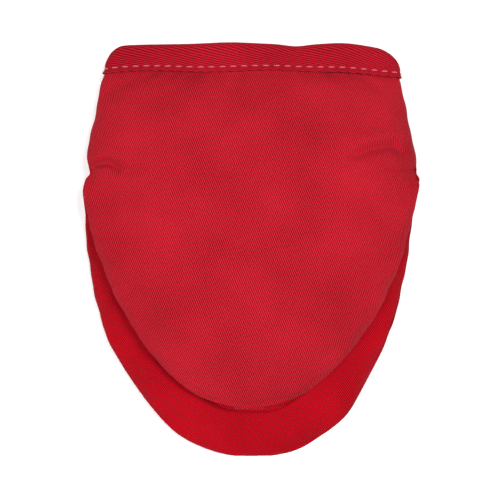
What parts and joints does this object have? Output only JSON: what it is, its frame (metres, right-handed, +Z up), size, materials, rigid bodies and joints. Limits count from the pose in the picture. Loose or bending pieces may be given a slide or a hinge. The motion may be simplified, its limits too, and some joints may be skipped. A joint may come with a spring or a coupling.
{
  "type": "pinch oven mitt",
  "caption": "Padded red cotton twill pinch mitt with a long finger pocket, a shorter thumb pocket and a bound cuff; both pockets swing on the cuff.",
  "frame": {"origin": "middle of the bounding box, on the table it lies on", "axes": "+Z up from the table through the thumb pocket, +Y along the mitt from the pocket tips to the cuff opening, +X across the mitt to the right"},
  "size_m": [0.14, 0.174, 0.0285],
  "materials": {
    "twill": "matt cotton twill",
    "wadding": "soft cotton wadding",
    "lining": "matt plain-weave cotton",
    "thread": "spun polyester thread"
  },
  "bodies": {
    "cuff": {"thumb_side_shell_cuff": "twill", "thumb_side_wadding_cuff": "wadding", "thumb_side_lining_cuff": "lining", "finger_side_shell_cuff": "twill", "finger_side_wadding_cuff": "wadding", "finger_side_lining_cuff": "lining", "thumb_side_shell_bend": "twill", "thumb_side_wadding_bend": "wadding", "thumb_side_lining_bend": "lining", "finger_side_shell_bend": "twill", "finger_side_wadding_bend": "wadding", "finger_side_lining_bend": "lining", "palm_shell_fold": "twill", "palm_wadding_fold": "wadding", "palm_lining_fold": "lining", "cuff_binding": "twill", "binding_needle_thread": "thread", "binding_bobbin_thread": "thread"},
    "thumb_pocket": {"thumb_side_shell_pocket": "twill", "thumb_side_wadding_pocket": "wadding", "thumb_side_lining_pocket": "lining", "palm_shell_thumb": "twill", "palm_wadding_thumb": "wadding", "palm_lining_thumb": "lining"},
    "finger_pocket": {"finger_side_shell_pocket": "twill", "finger_side_wadding_pocket": "wadding", "finger_side_lining_pocket": "lining", "palm_shell_finger": "twill", "palm_wadding_finger": "wadding", "palm_lining_finger": "lining"}
  },
  "joints": [
    {"name": "thumb_pocket_swing", "type": "hinge", "parent": "cuff", "child": "thumb_pocket", "pos_m": [0, 0.031, 0.01425], "axis": [-1, 0, 0], "range_deg": [0, 70], "deforming": ["thumb_side_shell_bend", "thumb_side_wadding_bend", "thumb_side_lining_bend", "palm_shell_fold", "palm_wadding_fold", "palm_lining_fold"]},
    {"name": "finger_pocket_swing", "type": "hinge", "parent": "cuff", "child": "finger_pocket", "pos_m": [0, 0.031, 0.01425], "axis": [1, 0, 0], "range_deg": [0, 45], "deforming": ["finger_side_shell_bend", "finger_side_wadding_bend", "finger_side_lining_bend", "palm_shell_fold", "palm_wadding_fold", "palm_lining_fold"]}
  ]
}
